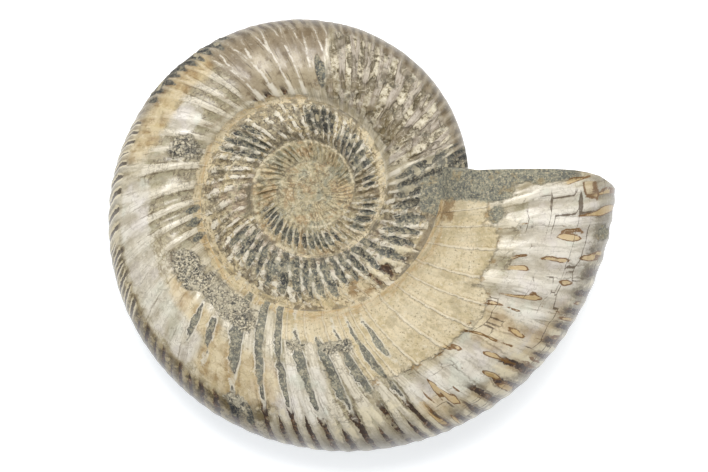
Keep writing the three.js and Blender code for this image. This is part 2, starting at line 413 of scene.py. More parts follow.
def grain(points, size, octaves, seed):
    """Smooth random numbers, about -1 to 1, one for each point."""
    shift = Vector((seed * 17.3, seed * -9.1, seed * 5.7))
    values = [noise.fractal(Vector(p) / size + shift, 0.6, 2.0, octaves) for p in points.tolist()]
    return np.array(values)


# %% [markdown]
# Relief is more than ribs. Sediment is rough, the etched part is pitted like a honeycomb, and the
# sandy infill is nearly plain, with only faint lines where ribs were. The polish has flattened
# the ribs of the pearly parts.


# %% Height of the surface above the smooth shell, in millimetres
RIBS_TAKEN_BY = {
    "crust": 0.8, "infill": 0.75, "pearl": 0.45, "etched": 0.15,
    "calcite": 0.65, "wedges": 0.4, "polished": 0.65, "matrix": 0.9,
}
RIM_KEEPS = 0.28


def pit_depth(growth, row):
    """Pits that etching left, 1 at the bottom, longer than wide because ribs guide them."""
    across = where_on_shell(growth, row)[1]
    laid = np.stack([rib_phase(growth) * 1.3, across * 5.0, np.zeros_like(growth)], axis=1)
    return smooth(0.02, 0.30, grain(laid, 1.0, 3, 3))


def relief(growth, row, points):
    along, across = where_on_shell(growth, row)
    strength = shell_patches(growth, row)
    radius = place_on(growth, row)[1]
    old = 1 - smooth(-6, 10, along)
    height = np.maximum(RIB_RELIEF * radius, 0.34 + 0.2 * old)
    ribs = rib_rise(growth, np.where(growth < COVERED_UNTIL, 0.3, across)) * height
    on_ribs = np.stack([rib_phase(growth) * 0.9, across * 5.0, np.ones_like(growth)], axis=1)
    broken = grain(on_ribs, 1.0, 2, 5)
    ribs = ribs * (1 + broken * mix(0.5, 1.6, np.maximum(old, strength["streaked"] * 0.4)))
    sunk = np.max([strength[name] * share for name, share in RIBS_TAKEN_BY.items()], axis=0)
    ribs = ribs * (1 - sunk) * mix(1, RIM_KEEPS, smooth(0.76, 0.95, across))
    rough_patch = [strength["crust"], strength["matrix"], strength["mud"] * 0.6, old * 0.55]
    rough_patch = np.max(rough_patch, axis=0)
    rough = grain(points, 2.0, 4, 1) * (0.05 + 0.42 * rough_patch + 0.30 * strength["etched"])
    rough = rough + grain(points, 6.0, 3, 2) * 0.14
    pits = -1.1 * pit_depth(growth, row) * strength["etched"]
    low = -0.35 * strength["crust"] - 0.15 * strength["infill"] - 0.3 * strength["matrix"]
    return (ribs + rough + pits + low) * hold(growth, row)


def lay(mesh, growth, row):
    """Moves the grid's points onto the ribbed shell, and keeps growth angle and row in its UVs."""
    angle, radius, height = place_on(growth, row)
    theta = np.radians(angle)
    smooth_shell = np.stack([radius * np.cos(theta), radius * np.sin(theta), height], axis=1)
    middle = (seam_radius(angle) + rim_radius(angle)) / 2
    reach = np.hypot(radius - middle, height) + 1e-9
    rise = relief(growth, row, smooth_shell)
    outward = radius + (radius - middle) / reach * rise
    laid = [outward * np.cos(theta), outward * np.sin(theta), height + height / reach * rise]
    mesh.vertices.foreach_set("co", np.stack(laid, axis=1).ravel())
    corner = read(mesh.loops, "vertex_index", kind=np.int32)
    marks = np.stack([growth / 360, row], axis=1)[corner]
    mesh.uv_layers[0].data.foreach_set("uv", marks.ravel())


skin = bmesh.new()
for name, first_growth, first_row, last_row, rows in (
    ("upper flank", FIRST_GROWTH, 0, 1, ROWS_ABOVE),
    ("rim", -360 - LEAN, 1, 2, ROWS_ROUND),
    ("lower flank", FIRST_GROWTH, 2, 3, ROWS_BELOW),
):
    mesh, growth, row = sheet(name, first_growth, first_row, last_row, rows)
    if name == "rim":
        growth = np.maximum(growth, lip_growth(row, 1))
    lay(mesh, np.minimum(growth, lip_growth(row, 0)), row)
    skin.from_mesh(mesh)
    bpy.data.meshes.remove(mesh)
    print(name, "grid laid")

# %% Welding the seams
WELD, SLIVER = 0.0008, 0.0005
before = len(skin.verts)
bmesh.ops.remove_doubles(skin, verts=skin.verts, dist=WELD)
bmesh.ops.dissolve_degenerate(skin, dist=SLIVER, edges=skin.edges)
print("welding took", before - len(skin.verts), "of", before, "points")

# %% [markdown]
# ## Closing the lip and the centre
# Three holes are left: the broken lip and the worn centre of each side. A hole's edge is extruded
# again and again, each time shrunk towards a middle point, until the last ring meets there. The
# worn centres then get faint whorls of their own, from where a plain spiral would run.


# %% Rings that close a hole
KIND = skin.faces.layers.int.new("kind")
SHELL, STONE, BUTTON = 0, 1, 2
LIP_RINGS, UPPER_RINGS, LOWER_RINGS = 26, 12, 5
LIP_SPREAD = 30
MIDDLE_WELD = 0.05


def chains(edges):
    """The boundary edges, sorted into their separate loops."""
    left, found = set(edges), []
    while left:
        group, front = [], [left.pop()]
        while front:
            edge = front.pop()
            group.append(edge)
            for vert in edge.verts:
                near = [other for other in vert.link_edges if other in left]
                left.difference_update(near)
                front.extend(near)
        found.append(group)
    return found


def close_hole(bm, edges, rings, kind, bulge=None):
    """Extrudes the edge of a hole ring by ring to its middle."""
    verts = {vert for edge in edges for vert in edge.verts}
    middle = sum((vert.co for vert in verts), Vector()) / len(verts)
    for ring in range(rings):
        grown = bmesh.ops.extrude_edge_only(bm, edges=edges)["geom"]
        edges = [item for item in grown if isinstance(item, bmesh.types.BMEdge) and item.is_boundary]
        fresh = [item for item in grown if isinstance(item, bmesh.types.BMVert)]
        for face in [item for item in grown if isinstance(item, bmesh.types.BMFace)]:
            face[KIND] = kind
        keep = (rings - ring - 1) / (rings - ring)
        bmesh.ops.scale(bm, vec=(keep, keep, keep), space=Matrix.Translation(-middle), verts=fresh)
        share = (ring + 1) / rings
        for vert in fresh if bulge else ():
            vert.co += bulge(vert.co, share, 1 / rings)
    bmesh.ops.remove_doubles(bm, verts=fresh, dist=MIDDLE_WELD)
    return len(fresh)


def worn_whorls(x, y):
    """The growth angle and row that a plain spiral has at a place inside the first whorl."""
    turn = np.degrees(np.arctan2(y, x))
    radius = np.hypot(x, y) + 1e-6
    growth = np.full_like(turn, -9999.0)
    row = np.zeros_like(turn)
    for whorl in range(2, 10):
        angle = turn - 360 * whorl
        share = (radius - seam_radius(angle)) / (track_radius(angle) - seam_radius(angle))
        here = (share >= 0) & (share < 1)
        growth = np.where(here, angle - LEAN * share, growth)
        row = np.where(here, share, row)
    return growth, row


def stone_bulge(place, share, step):
    rough = noise.fractal(place / 5.0, 0.7, 2.0, 5)
    return Vector((0, 0.45 * step * math.cos(share * 1.5) + rough * 0.10, 0))


for edges in sorted(chains([edge for edge in skin.edges if edge.is_boundary]), key=len):
    spread = max(vert.co.xy.length for edge in edges for vert in edge.verts)
    if spread > LIP_SPREAD:
        close_hole(skin, edges, LIP_RINGS, STONE, stone_bulge)
        print("the lip's stone closes a loop of", len(edges), "edges")
    else:
        upper = edges[0].verts[0].co.z > 0
        close_hole(skin, edges, UPPER_RINGS if upper else LOWER_RINGS, BUTTON)
        print("a worn centre closes a loop of", len(edges), "edges")

worn_verts = {vert for face in skin.faces if face[KIND] == BUTTON for vert in face.verts}
worn_verts = [vert for vert in worn_verts if all(face[KIND] == BUTTON for face in vert.link_faces)]
flat = np.array([vert.co for vert in worn_verts])
growth, row = worn_whorls(flat[:, 0], flat[:, 1])
swirl = (row - 0.5) * 0.7 + rib_rise(growth, np.full_like(row, 0.3)) * 0.10
swirl = swirl + grain(flat, 1.6, 3, 6) * 0.3
swirl = swirl * smooth(0.0, 0.12, row) * smooth(1.2, 3.0, np.hypot(flat[:, 0], flat[:, 1]))
for vert, rise in zip(worn_verts, swirl.tolist()):
    vert.co.z += math.copysign(rise, vert.co.z) if rise > 0 else -math.copysign(rise, vert.co.z)

bmesh.ops.recalc_face_normals(skin, faces=skin.faces)
open_edges = sum(not edge.is_manifold for edge in skin.edges)
print("edges that aren't shared by two faces:", open_edges)

# %% [markdown]
# ## Laying it down
# The whorls thicken towards the lip, so on a table the coil tips by a few degrees until it rests
# on its lower flank, where polishing has ground small flats.

# %% Tipping, grinding and moving to the frame
TIPPED = (math.radians(-1.4), math.radians(-5.0))
COIL_CENTRE = Vector((-14.719, 14.401, 16.673))

tip = Matrix.Rotation(TIPPED[1], 4, "Y") @ Matrix.Rotation(TIPPED[0], 4, "X")
bmesh.ops.transform(skin, matrix=Matrix.Translation(COIL_CENTRE) @ tip, verts=skin.verts)
for vert in skin.verts:
    vert.co.z = max(vert.co.z, 0.0)
bmesh.ops.scale(skin, vec=(0.001, 0.001, 0.001), verts=skin.verts)
bmesh.ops.triangulate(skin, faces=[face for face in skin.faces if len(face.verts) > 4])
for face in skin.faces:
    face.smooth = True



def into_scene(name, data):
    made = bpy.data.objects.new(name, data)
    bpy.context.scene.collection.objects.link(made)
    return made


shell_mesh = bpy.data.meshes.new("ammonite_shell")
skin.to_mesh(shell_mesh)
skin.free()
shell = into_scene("ammonite_shell", shell_mesh)
print("the shell has", len(shell_mesh.loop_triangles) or len(shell_mesh.polygons), "faces")

# %% [markdown]
# ## Marking the patches on the mesh
# The material needs to know where each patch is. The strength of each is kept on the corners of
# the faces, because at a seam two whorls meet in one point, and each needs its own value there.

# %% Corner attributes
marks = read(shell_mesh.uv_layers[0].data, "uv", 2, np.float32).astype(float)
corner_growth, corner_row = marks[:, 0] * 360, marks[:, 1]

face_kind = read(shell_mesh.attributes["kind"].data, "value", kind=np.int32)
face_sizes = read(shell_mesh.polygons, "loop_total", kind=np.int32)
corner_kind = np.repeat(face_kind, face_sizes)

untip = np.array((Matrix.Translation(COIL_CENTRE) @ tip).inverted())
in_coil = read(shell_mesh.vertices, "co", 3) * 1000 @ untip[:3, :3].T + untip[:3, 3]
in_coil = in_coil[read(shell_mesh.loops, "vertex_index", kind=np.int32)]
worn_growth, worn_row = worn_whorls(in_coil[:, 0], in_coil[:, 1])
corner_growth = np.where(corner_kind == BUTTON, worn_growth, corner_growth)
corner_row = np.where(corner_kind == BUTTON, worn_row, corner_row)


def keep_on_corners(name, values):
    layer = shell_mesh.attributes.new(name, "FLOAT", "CORNER")
    layer.data.foreach_set("value", values.astype(np.float32))


WORN_COLOUR_FROM, WORN_COLOUR_UNTIL = -900, -640
HOOK_X, HOOK_Y, HOOK_BEND, HOOK_REACH = 88.6, -2.0, 2.0, 4.0
FAR_AWAY = 9.0

strengths = shell_patches(corner_growth, corner_row)
for name, values in strengths.items():
    keep_on_corners(name, np.where(corner_kind == SHELL, values, 0))
keep_on_corners("stone", (corner_kind == STONE).astype(float))
along, across = where_on_shell(corner_growth, corner_row)
keep_on_corners("inner", np.where(corner_kind == BUTTON, 1.0, 1 - smooth(-6, 8, along)))
worn = 1 - smooth(WORN_COLOUR_FROM, WORN_COLOUR_UNTIL, corner_growth)
keep_on_corners("worn", np.where(corner_kind == BUTTON, 1.0, worn))
hook_x, hook_y = in_coil[:, 0] - HOOK_X, in_coil[:, 1] - HOOK_Y
hook = np.hypot(hook_x + 0.2 * hook_y, np.minimum(hook_y, 0)) - HOOK_BEND
keep_on_corners("hook", np.where(np.abs(hook_y) < HOOK_REACH, hook, FAR_AWAY))
pits = np.where(strengths["etched"] > 0.01, pit_depth(corner_growth, corner_row), 0)
keep_on_corners("pit", pits)
keep_on_corners("across", np.where(corner_kind == STONE, 0.5, across))
keep_on_corners("rib", np.where(corner_kind == STONE, 0.25, rib_phase(corner_growth)))
fork_share = fork_spread(rib_phase(corner_growth), across) * (along > -8)
keep_on_corners("fork", np.where(corner_kind == SHELL, fork_share, 0))
print("kept", len(strengths) + 8, "numbers on each of", len(marks), "corners")

# %% [markdown]
# ## Shader maths as plain Python
# A wire is a number that changes over the surface. Adding or multiplying wires adds the nodes that
# do it, so a material reads like a formula. Every other node comes from one method.


# %% Wires and recipes
class Wire:
    def __init__(self, recipe, socket):
        self.recipe = recipe
        self.socket = socket

    def maths(self, operation, *others):
        settings = {"operation": operation}
        values = dict(enumerate((self,) + others))
        return self.recipe.node("ShaderNodeMath", settings, values)[0]

    def __add__(self, other):
        return self.maths("ADD", other)

    def __sub__(self, other):
        return self.maths("SUBTRACT", other)

    def __rsub__(self, other):
        return self.maths("MULTIPLY_ADD", -1.0, other)

    def __mul__(self, other):
        return self.maths("MULTIPLY", other)

    __radd__ = __add__
    __rmul__ = __mul__

    def larger(self, other):
        return self.maths("MAXIMUM", other)

    def step(self, low, high):
        """0 below low and 1 above high, smooth between."""
        settings = {"interpolation_type": "SMOOTHSTEP"}
        values = {"Value": self, "From Min": low, "From Max": high}
        return self.recipe.node("ShaderNodeMapRange", settings, values)[0]

    def fade(self, low, high):
        """1 below low and 0 above high, smooth between."""
        return 1 - self.step(low, high)

    def band(self, low, full, still, high):
        """1 from full to still, 0 below low and above high."""
        return self.step(low, full) * self.fade(still, high)


class Recipe:
    def __init__(self, name):
        self.material = bpy.data.materials.new(name)
        self.material.use_nodes = True
        self.tree = self.material.node_tree
        self.tree.nodes.clear()

    def node(self, kind, settings, values):
        made = self.tree.nodes.new(kind)
        for name, setting in settings.items():
            setattr(made, name, setting)
        for name, value in values.items():
            if isinstance(value, Wire):
                self.tree.links.new(value.socket, made.inputs[name])
            else:
                made.inputs[name].default_value = value
        return [Wire(self, socket) for socket in made.outputs]

    def mark(self, name):
        """A number kept on the mesh."""
        return self.node("ShaderNodeAttribute", {"attribute_name": name}, {})[2]

    def place(self):
        return self.node("ShaderNodeTexCoord", {}, {})[3]

    def cloud(self, scale, detail=3.0, roughness=0.55, stretch=None, seed=0.0):
        """Smooth noise about 0.5, with its scale in waves to a metre."""
        values = {"Vector": self.place(), "Location": (seed, seed * 0.7, -seed)}
        if stretch:
            values["Scale"] = stretch
        moved = self.node("ShaderNodeMapping", {}, values)[0]
        values = {"Vector": moved, "Scale": scale, "Detail": detail, "Roughness": roughness}
        return self.node("ShaderNodeTexNoise", {}, values)[0]

    def along_ribs(self, phase, across, per_rib, per_width, detail=4.0, kind="noise"):
        """A pattern laid on the shell's own lines, so it can run long with the ribs."""
        values = {0: phase * per_rib, 1: across * per_width}
        laid = self.node("ShaderNodeCombineXYZ", {}, values)[0]
        if kind == "noise":
            values = {"Vector": laid, "Scale": 1.0, "Detail": detail, "Roughness": 0.62}
            return self.node("ShaderNodeTexNoise", {}, values)[0]
        distances = []
        for feature in ("F1", "F2"):
            settings = {"distance": "CHEBYCHEV", "feature": feature}
            values = {"Vector": laid, "Scale": 1.0}
            distances.append(self.node("ShaderNodeTexVoronoi", settings, values)[0])
        return distances[1] - distances[0]

    def blend(self, share, first, second):
        """A colour from first at 0 to second at 1."""
        settings = {"data_type": "RGBA"}
        values = {0: share, 6: first, 7: second}
        return self.node("ShaderNodeMix", settings, values)[2]


def paint(code):
    """A colour written as on a paint chart, in the light units that Blender mixes."""
    parts = [int(code[i:i + 2], 16) / 255 for i in (0, 2, 4)]
    return tuple(((p + 0.055) / 1.055) ** 2.4 if p > 0.04 else p / 12.92 for p in parts) + (1.0,)


print("cream in light units:", [round(value, 3) for value in paint("e2d5ba")])

# %% [markdown]
# ## The fossil's surface
# The base is cream shell, lighter on the ribs and browner in the furrows. Patches then go over it,
# one after another, each with an edge that noise makes ragged. Polished shell is glossy;
# sandstone and sediment are matte and grainy.

# %% Clouds of several sizes, and the ribs again, now for colour
surface = Recipe("polished_fossil_shell")
dust = surface.cloud(1500, 3.0, 0.7)
fine = surface.cloud(700, 5.0, 0.7, seed=1.7)
middling = surface.cloud(240, 5.0, 0.62, seed=3.0)
broad = surface.cloud(70, 4.0, 0.6, seed=7.0)

phase = surface.mark("rib")
fork = surface.mark("fork")
across_wire = surface.mark("across")
inner = surface.mark("inner")
grooves = surface.along_ribs(phase, across_wire, 5.0, 3.0)
long_marks = surface.along_ribs(phase, across_wire, 1.6, 5.0)

worn = surface.mark("worn")
wavy = phase + (fine - 0.5) * (0.14 + worn * 0.5) + (middling - 0.5) * (0.20 + inner * 0.9)
off = wavy.maths("FRACT") - 0.5
arm = (off.maths("ABSOLUTE") - fork * 0.25).maths("ABSOLUTE")
spacing = 0.5 - fork * 0.25
rib = (arm.maths("DIVIDE", spacing) * math.pi).maths("COSINE") * 0.5 + 0.5
crest = rib.step(0.50, 0.95)
furrow = rib.fade(0.05, 0.45)


def two_tones(share, first, second):
    """One paint where the share is 0 and another where it is 1."""
    return surface.blend(share, paint(first), paint(second))


def coat(under, thickness, code):
    """A coat of paint, from none where the thickness is 0 to a full one where it is 1."""
    return surface.blend(thickness, under, paint(code))


def patch_mask(name, raggedness=0.5, crisp=0.12, cloud=None, bias=None):
    """Where a patch is, with an edge that a cloud makes ragged."""
    strength = surface.mark(name)
    ragged = strength + ((cloud or middling) - 0.5) * (raggedness * 2.2) + (fine - 0.5) * 0.7
    if bias:
        ragged = ragged + bias
    return ragged.step(0.5 - crisp, 0.5 + crisp) * strength.step(0.02, 0.15)


def tell(what):
    print(what, "laid:", len(surface.tree.nodes), "nodes so far")


tell("clouds and ribs")

# %% Plain shell: cream ribs, browner furrows, both clouded
tone = two_tones(broad.step(0.38, 0.62), "b9ad8f", "d2c8ae")
tone = coat(tone, middling.step(0.40, 0.66) * 0.6, "dfd7c3")
tone = coat(tone, middling.fade(0.34, 0.48) * 0.55, "978a6e")
colour = surface.blend(crest * 0.40, tone, paint("e2dac6"))
colour = coat(colour, furrow * grooves.step(0.35, 0.62) * 0.60, "8f8164")
outline = rib.band(0.40, 0.52, 0.56, 0.70) * long_marks.step(0.48, 0.60)
dashes = surface.along_ribs(phase, across_wire, 0.9, 7.0)
hair = surface.along_ribs(phase, across_wire, 9.0, 5.0)
beside_seam = surface.along_ribs(phase, across_wire, 0.7, 30.0)
edging = surface.cloud(300, 2.0, 0.5, seed=5.0)
vein = edging.band(0.470, 0.488, 0.496, 0.514)
panel_edge = dashes.band(0.465, 0.485, 0.495, 0.515)
colour = coat(colour, hair.fade(0.40, 0.50) * 0.40, "8f8268")
tell("plain shell")

# %% [markdown]
# Clear calcite shows where the shell is gone. It could be made glassy, with light inside it, but
# the layer is thin and lies on dark stone, so two browns with white threads look the same.

# %% Clear brown calcite, streaked white along the ribs
calcite = patch_mask("calcite", 0.30, 0.15)
clear = two_tones(broad.step(0.4, 0.6), "87775f", "aa9b7f")
clear = coat(clear, grooves.step(0.54, 0.70) * 0.5, "c9bfab")
clear = coat(clear, broad.fade(0.38, 0.50) * furrow * 0.5, "6f5f48")
thin_ribs = rib.step(0.93, 0.995) * long_marks.step(0.44, 0.56)
clear = coat(clear, thin_ribs * 0.75, "e9e2d3")
clear = coat(clear, fine.step(0.56, 0.68) * 0.5, "69593f")
clear = coat(clear, outline * 0.8, "54452f")
clear = coat(clear, middling.fade(0.36, 0.44) * 0.6, "5c4628")
forked = across_wire.step(0.80, 0.92) * long_marks.step(0.36, 0.50)
clear = coat(clear, forked * furrow * 0.7, "5a4a34")
clear = coat(clear, forked * crest * 0.6, "cfc2a8")
colour = surface.blend(calcite * 0.9, colour, clear)
tell("calcite")

# %% White ribs over grey-brown furrows
streaked = patch_mask("streaked", 0.3, 0.25)
ladder = two_tones(fine.step(0.40, 0.60), "857a61", "b9ae8e")
ladder = coat(ladder, dashes.step(0.48, 0.56) * 0.7, "9a9478")
ladder = coat(ladder, panel_edge * 0.7, "554a37")
stripes = surface.blend(rib.step(0.60, 0.82), ladder, paint("d9d0bb"))
stripes = coat(stripes, hair.fade(0.42, 0.50) * 0.5, "9b8e73")
stripes = coat(stripes, outline * 0.8, "5b4e39")
stripes = coat(stripes, panel_edge * hair.step(0.40, 0.50) * 0.55, "5b4e39")
colour = surface.blend(streaked * long_marks.step(0.32, 0.48) * 0.9, colour, stripes)
tell("white ribs")

# %% [markdown]
# Pearly shell gleams faintly pink and green. A thin film in the material would do that for every
# light, but tints laid by a cloud stay where they are put, and that is easier to match.

# %% Pearly polish, with painted shade in the furrows and painted highlights on the crests
pearl = patch_mask("pearl", 0.5, 0.2, broad)
rainbow = surface.cloud(120, 2.0, 0.5, seed=9.0)
# Pale cream pearl with painted light on it: the grey furrows are painted shade between the flattened
# ribs, the whitened crests are painted highlights, and the paler streaks along the ribs are partly
# painted highlight.
pearl_with_painted_light = two_tones(long_marks.step(0.40, 0.62), "c4bba8", "e6e0d2")
pearl_with_painted_light = coat(pearl_with_painted_light, furrow * 0.35, "a39884")
pearl_with_painted_light = coat(pearl_with_painted_light, crest * 0.4, "f0ebe0")
pearl_with_painted_light = coat(pearl_with_painted_light, hair.fade(0.40, 0.50) * 0.45, "a89f8c")
pearl_with_painted_light = coat(pearl_with_painted_light, rainbow.step(0.54, 0.66) * 0.22, "dcd3da")
pearl_with_painted_light = coat(pearl_with_painted_light, rainbow.fade(0.34, 0.46) * 0.25, "cfdccb")
colour = surface.blend(pearl * 0.9, colour, pearl_with_painted_light)
tell("pearl")

# %% Flattened by polishing: mottled, with hardly a rib left
polished = patch_mask("polished", 0.5, 0.25, broad)
flattened = two_tones(middling.step(0.40, 0.58), "b0a382", "dbd2bb")
olive = (broad + (middling - 0.5) * 0.8).step(0.50, 0.58)
flattened = coat(flattened, olive * 0.7, "8f8159")
flattened = coat(flattened, hair.fade(0.42, 0.52) * 0.4, "958867")
flattened = coat(flattened, dashes.step(0.52, 0.60) * 0.6, "e6dfcd")
flattened = coat(flattened, panel_edge.larger(vein) * 0.55, "6f6145")
colour = surface.blend(polished * (1 - pearl * 0.6) * 0.75, colour, flattened)
tell("flattened shell")

# %% Warm, iron-coloured places
warm = patch_mask("warm", 0.5, 0.3, broad)
amber = two_tones(middling.step(0.38, 0.62), "a98a58", "d3bd8f")
amber = coat(amber, crest * 0.4, "e0d1ac")
colour = surface.blend(warm * 0.65, colour, amber)
tell("warm places")

# %% [markdown]
# One stretch is etched: its polish is gone, and it is full of pits. They are real dents in the
# mesh. Their depth was kept as a mark, so the brown finds the bottoms without a second drawing.

# %% The etched part: cream crust between brown and olive pits
etched = patch_mask("etched", 0.30, 0.18)
pit = (surface.mark("pit") + (fine - 0.5) * 0.8).step(0.30, 0.60)
bottoms = two_tones(broad.step(0.42, 0.58), "6d5a31", "7d705c")
bottoms = coat(bottoms, fine.step(0.50, 0.60) * 0.5, "a08e66")
crusted = two_tones(fine.step(0.42, 0.58), "b0a384", "dfd6be")
crusted = coat(crusted, fine.step(0.56, 0.64) * 0.7, "e9e0ca")
crusted = coat(crusted, crest * grooves.fade(0.50, 0.60) * 0.85, "aea191")
crusted = coat(crusted, outline * 0.8, "5d4f39")
pitted = surface.blend(pit * 0.62, crusted, bottoms)
pitted = coat(pitted, pit.step(0.4, 1.0) * 0.6, "4b4228")
pitted = coat(pitted, edging.step(0.54, 0.60) * 0.5, "d2c6ae")
pitted = coat(pitted, vein * 0.8, "e6dcc3")
pitted = coat(pitted, fine.fade(0.39, 0.46) * 0.85, "473c25")
pitted = coat(pitted, middling.step(0.56, 0.64) * 0.6, "6f6a5e")
band_colour = two_tones(hair.step(0.42, 0.54), "8f8272", "bdb1a2")
banded = rib.step(0.42, 0.62) * middling.fade(0.50, 0.60) * (1 - pit * 0.6)
pitted = surface.blend(banded * 0.85, pitted, band_colour)
pitted = coat(pitted, outline * middling.fade(0.52, 0.62) * 0.8, "4f4330")
hollows = across_wire.step(0.50, 0.20) * broad.step(0.46, 0.56) * (1 - vein) * 0.75
pitted = coat(pitted, hollows, "6d5b2f")
colour = surface.blend(etched * 0.92, colour, pitted)
tell("etched part")

# %% [markdown]
# The inner whorls are older and worn. A crest there is a row of white dashes with dark edges: a
# whole white line would look like a new rib.

# %% The old, inner whorls, and the worn centre
old = two_tones(middling.step(0.42, 0.58), "958a72", "c6b48c")
old = coat(old, broad.step(0.50, 0.62) * 0.5, "9c9a82")
old = coat(old, furrow * 0.5, "7b6f57")
old = coat(old, fine.step(0.52, 0.60) * 0.7, "ddd0ad")
old = coat(old, fine.fade(0.40, 0.47) * 0.8, "5a5142")
dash = rib.step(0.52, 0.74) * dashes.step(0.44, 0.52)
dash_edge = rib.band(0.25, 0.42, 0.52, 0.70) * dashes.step(0.46, 0.54)
old = coat(old, dash * middling.step(0.40, 0.52) * 0.85, "e9e2d2")
old = coat(old, dash_edge * 0.85, "37332b")
pinkish = broad.step(0.52, 0.62) * dashes.step(0.40, 0.50) * 0.35
old = coat(old, pinkish, "b79b85")
old = coat(old, across_wire.step(0.84, 0.92) * broad.fade(0.44, 0.54), "8c8068")
colour = surface.blend(inner * 0.95, colour, old)
centre = two_tones(broad.step(0.44, 0.56), "b5a988", "cfbc93")
centre = coat(centre, middling.step(0.52, 0.60) * 0.7, "8f9282")
centre = coat(centre, middling.fade(0.40, 0.48) * 0.6, "b08c60")
centre = coat(centre, fine.step(0.52, 0.62) * 0.6, "dccfae")
centre = coat(centre, fine.fade(0.38, 0.46) * 0.6, "6f6753")
centre = coat(centre, furrow * broad.step(0.44, 0.54) * 0.6, "6d6553")
ridge = across_wire.band(0.80, 0.90, 0.96, 1.0)
centre = coat(centre, ridge * middling.step(0.44, 0.56) * 0.8, "e2d6b8")
colour = surface.blend(worn * 0.85, colour, centre)
tell("old whorls")

# %% [markdown]
# Water carried iron into the furrows, and it dried as brown drops near the rim. So the mask of the
# stain is the furrow itself, broken up by the pattern that runs along the ribs.

# %% Brown stain that runs along the furrows to the rim, and a rim darkened by stain and painted shade
colour = coat(colour, outline * (1 - inner) * 0.5, "6b5b42")
# The rim is darkened brown all round: partly a real brown stain, partly painted shade where the rim
# curves down away from the light.
rim_stain_and_painted_shade = (across_wire + (long_marks - 0.5) * 0.3).step(0.76, 0.96)
rim_stain_and_painted_shade = rim_stain_and_painted_shade * (0.55 + furrow * 0.15 + middling.step(0.35, 0.6) * 0.25)
rim_stain_and_painted_shade = rim_stain_and_painted_shade * (1 - inner) * (1 - pearl * 0.6) * (1 - etched * 0.4)
colour = coat(colour, rim_stain_and_painted_shade * 0.9, "5b4f3a")
colour = coat(colour, vein * (0.22 + inner * 0.4), "6e5d42")
stain = patch_mask("stain", 0.5, 0.25, broad)
teardrop = (furrow + (long_marks - 0.5) * 1.6).step(0.38, 0.58)
teardrop = teardrop * (1 - calcite * 0.5) * (middling + (broad - 0.5) * 1.2).step(0.24, 0.36)
brown = two_tones(fine.step(0.46, 0.66), "2f1b0e", "6d4c28")
mottled = stain * polished
colour = coat(colour, mottled * 0.45, "9a8757")
colour = coat(colour, mottled * middling.fade(0.46, 0.54) * 0.8, "5c4d2b")
colour = coat(colour, mottled * fine.fade(0.42, 0.48) * 0.7, "3a3018")
pale_rib = stain * rib.step(0.55, 0.85) * broad.step(0.44, 0.54) * (1 - calcite) * (1 - polished)
colour = coat(colour, pale_rib * 0.7, "e0d4b4")
colour = surface.blend(stain * teardrop * 0.96, colour, brown)
eyelets = patch_mask("eyelets", 0.25, 0.15)
lens = (furrow + (fine - 0.5) * 0.6 + (long_marks - 0.5) * 0.8).step(0.52, 0.72)
colour = coat(colour, eyelets * rib.fade(0.60, 0.80) * 0.8, "d8cbab")
colour = coat(colour, eyelets * lens * 0.95, "43341f")
tell("stain")

# %% [markdown]
# Sandy infill, grey sediment and the grey stone in the lip come last, because they lie on top.
# Sediment stayed where polishing couldn't reach, so its mask is biased by the ribs: it fills the
# furrows first and thins to a point where they run out.

# %% Sandstone, sediment, crust and the stone in the lip
ragged = 0.9 + inner * 1.8 + across_wire.fade(0.06, 0.12) * 1.6
infill_place = surface.mark("infill") + (middling - 0.5) * ragged + (fine - 0.5) * 0.6
infill = infill_place.step(0.42, 0.58) * surface.mark("infill").step(0.02, 0.15)
sand = two_tones(broad.step(0.38, 0.62), "cbb990", "ddcdab")
sand = coat(sand, middling.step(0.42, 0.62) * 0.5, "e0d3b6")
sand = coat(sand, middling.fade(0.38, 0.50) * 0.5, "ab9d7d")
sand = coat(sand, fine.step(0.56, 0.64) * 0.35, "ede3cc")
# On the infill, the pale line on each faint rib's crest is a painted highlight and the darker brown
# band beside it is painted shade, so the ridges read as raised.
rib_line = rib.step(0.965, 0.995)
sand = coat(sand, rib_line * 0.45, "ebe1ca")
painted_shade_beside_crest = rib.band(0.86, 0.93, 0.93, 0.965)
sand = coat(sand, painted_shade_beside_crest * long_marks.step(0.45, 0.60) * 0.5, "a08758")
between_ribs = rib.fade(0.30, 0.80) * grooves.step(0.46, 0.58)
sand = coat(sand, between_ribs * 0.25, "a39a7b")
near_seam = across_wire + (middling - 0.5) * 0.16
at_seam = near_seam.fade(0.02, 0.12) * beside_seam.step(0.44, 0.62)
sand = coat(sand, at_seam * 0.45, "bf965a")
sand = coat(sand, vein * inner * 0.8, "7d6b4e")
sand = coat(sand, stain * middling.step(0.44, 0.56) * 0.8, "8a6c40")
freckles = dust.fade(0.36, 0.42) * middling.step(0.42, 0.60)
sand = coat(sand, freckles * 0.75, "7d6a48")
colour = surface.blend(infill, colour, sand)
edge_line = infill_place.band(0.28, 0.36, 0.44, 0.52)
edge_line = edge_line * across_wire.step(0.24, 0.32) * long_marks.step(0.48, 0.58) * (1 - inner)
colour = coat(colour, edge_line * 0.7, "93733f")

